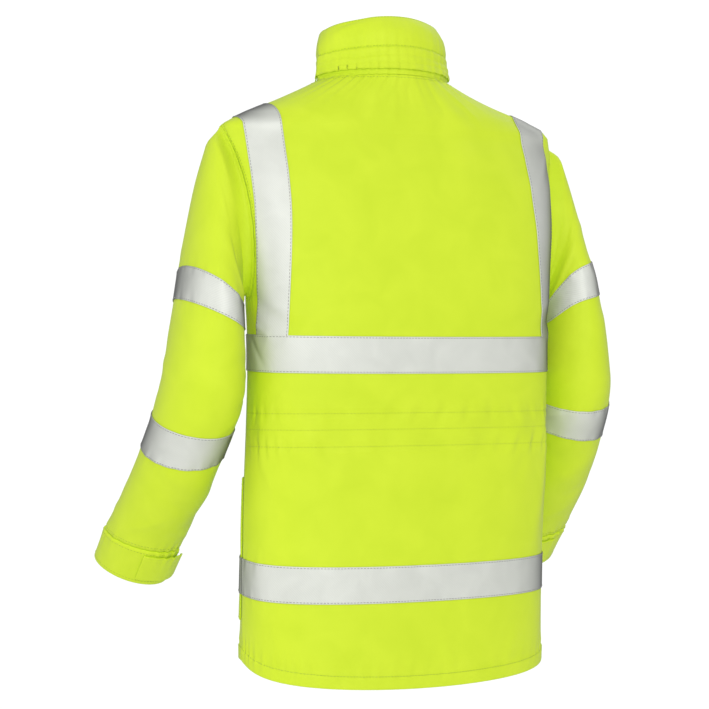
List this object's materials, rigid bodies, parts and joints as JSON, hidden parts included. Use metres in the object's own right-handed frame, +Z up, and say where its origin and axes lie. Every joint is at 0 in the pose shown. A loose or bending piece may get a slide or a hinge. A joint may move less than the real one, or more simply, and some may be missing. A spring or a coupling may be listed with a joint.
{
  "type": "hi-vis work jacket",
  "caption": "Long hi-vis work jacket, worn and hollow, with a tall hood collar, reflective braces and bands, patch pockets, a front zip with a hinged pull tab, and cuffs with closing tabs.",
  "frame": {"origin": "the middle of the neck, level with the neck seam at the back, where the wearer's shoulders carry the jacket", "axes": "+Z is up, -Y is the front, +X is the wearer's left"},
  "size_m": [0.7102, 0.3322, 0.89],
  "materials": {
    "cloth": "smooth coated fluorescent yellow cloth",
    "tape": "silver grey reflective tape with stitched edges",
    "zip_teeth": "moulded yellow coil",
    "zip_metal": "plain nickel"
  },
  "bodies": {
    "jacket": {"back_panel": "cloth", "front_left": "cloth", "front_right": "cloth", "sleeve_left": "cloth", "sleeve_right": "cloth", "cuff_left": "cloth", "cuff_right": "cloth", "cuff_tab_left": "cloth", "cuff_tab_right": "cloth", "collar": "cloth", "collar_flap": "cloth", "pocket_left": "cloth", "pocket_right": "cloth", "chest_band_back": "tape", "chest_band_left": "tape", "chest_band_right": "tape", "lower_band_back": "tape", "lower_band_left": "tape", "lower_band_right": "tape", "brace_left": "tape", "brace_right": "tape", "sleeve_band_upper_left": "tape", "sleeve_band_upper_right": "tape", "sleeve_band_lower_left": "tape", "sleeve_band_lower_right": "tape", "zip_chain": "zip_teeth", "zip_slider": "zip_metal"},
    "pull_tab": {"zip_pull": "zip_metal"}
  },
  "joints": [
    {"name": "pull_hinge", "type": "hinge", "parent": "jacket", "child": "pull_tab", "pos_m": [0, -0.09113, 0.01969], "axis": [-1, 0, 0], "range_deg": [0, 150]}
  ]
}
